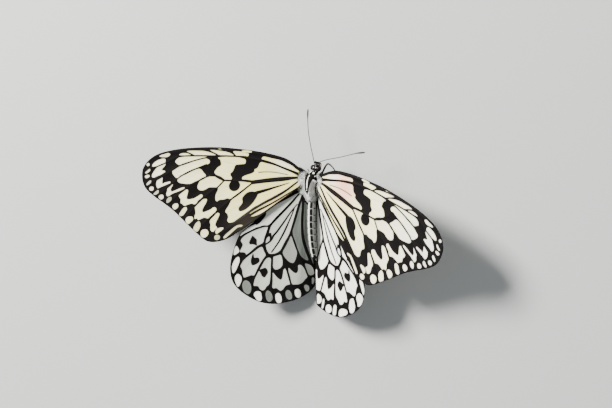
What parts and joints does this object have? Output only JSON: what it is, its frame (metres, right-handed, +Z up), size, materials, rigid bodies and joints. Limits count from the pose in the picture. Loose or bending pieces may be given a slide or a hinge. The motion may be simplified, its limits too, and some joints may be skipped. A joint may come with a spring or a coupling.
{
  "type": "paper kite butterfly",
  "caption": "Paper kite butterfly, life size, standing on its legs with black-veined creamy white wings half spread.",
  "frame": {"origin": "centre of the bounding box at the floor the feet stand on", "axes": "+X towards the insect's right, +Y towards its head, +Z up from the floor"},
  "size_m": [0.1292, 0.0778, 0.028],
  "materials": {
    "wing_cream": "matt",
    "wing_white": "matt",
    "body_black": "matt",
    "body_grey": "matt",
    "leg_black": "satin",
    "leg_white": "matt",
    "eye": "gloss"
  },
  "bodies": {
    "root": {"head": "body_black", "eye_left": "eye", "eye_right": "eye", "palp_left": "body_black", "palp_right": "body_black", "proboscis": "body_black", "antenna_left": "body_black", "antenna_right": "body_black", "thorax": "body_grey", "abdomen": "body_grey", "foreleg_left": "leg_white", "foreleg_right": "leg_white", "midleg_left": "leg_black", "midleg_right": "leg_black", "hindleg_left": "leg_black", "hindleg_right": "leg_black", "forewing_left": "wing_cream", "forewing_right": "wing_cream", "hindwing_left": "wing_white", "hindwing_right": "wing_white"}
  },
  "joints": []
}
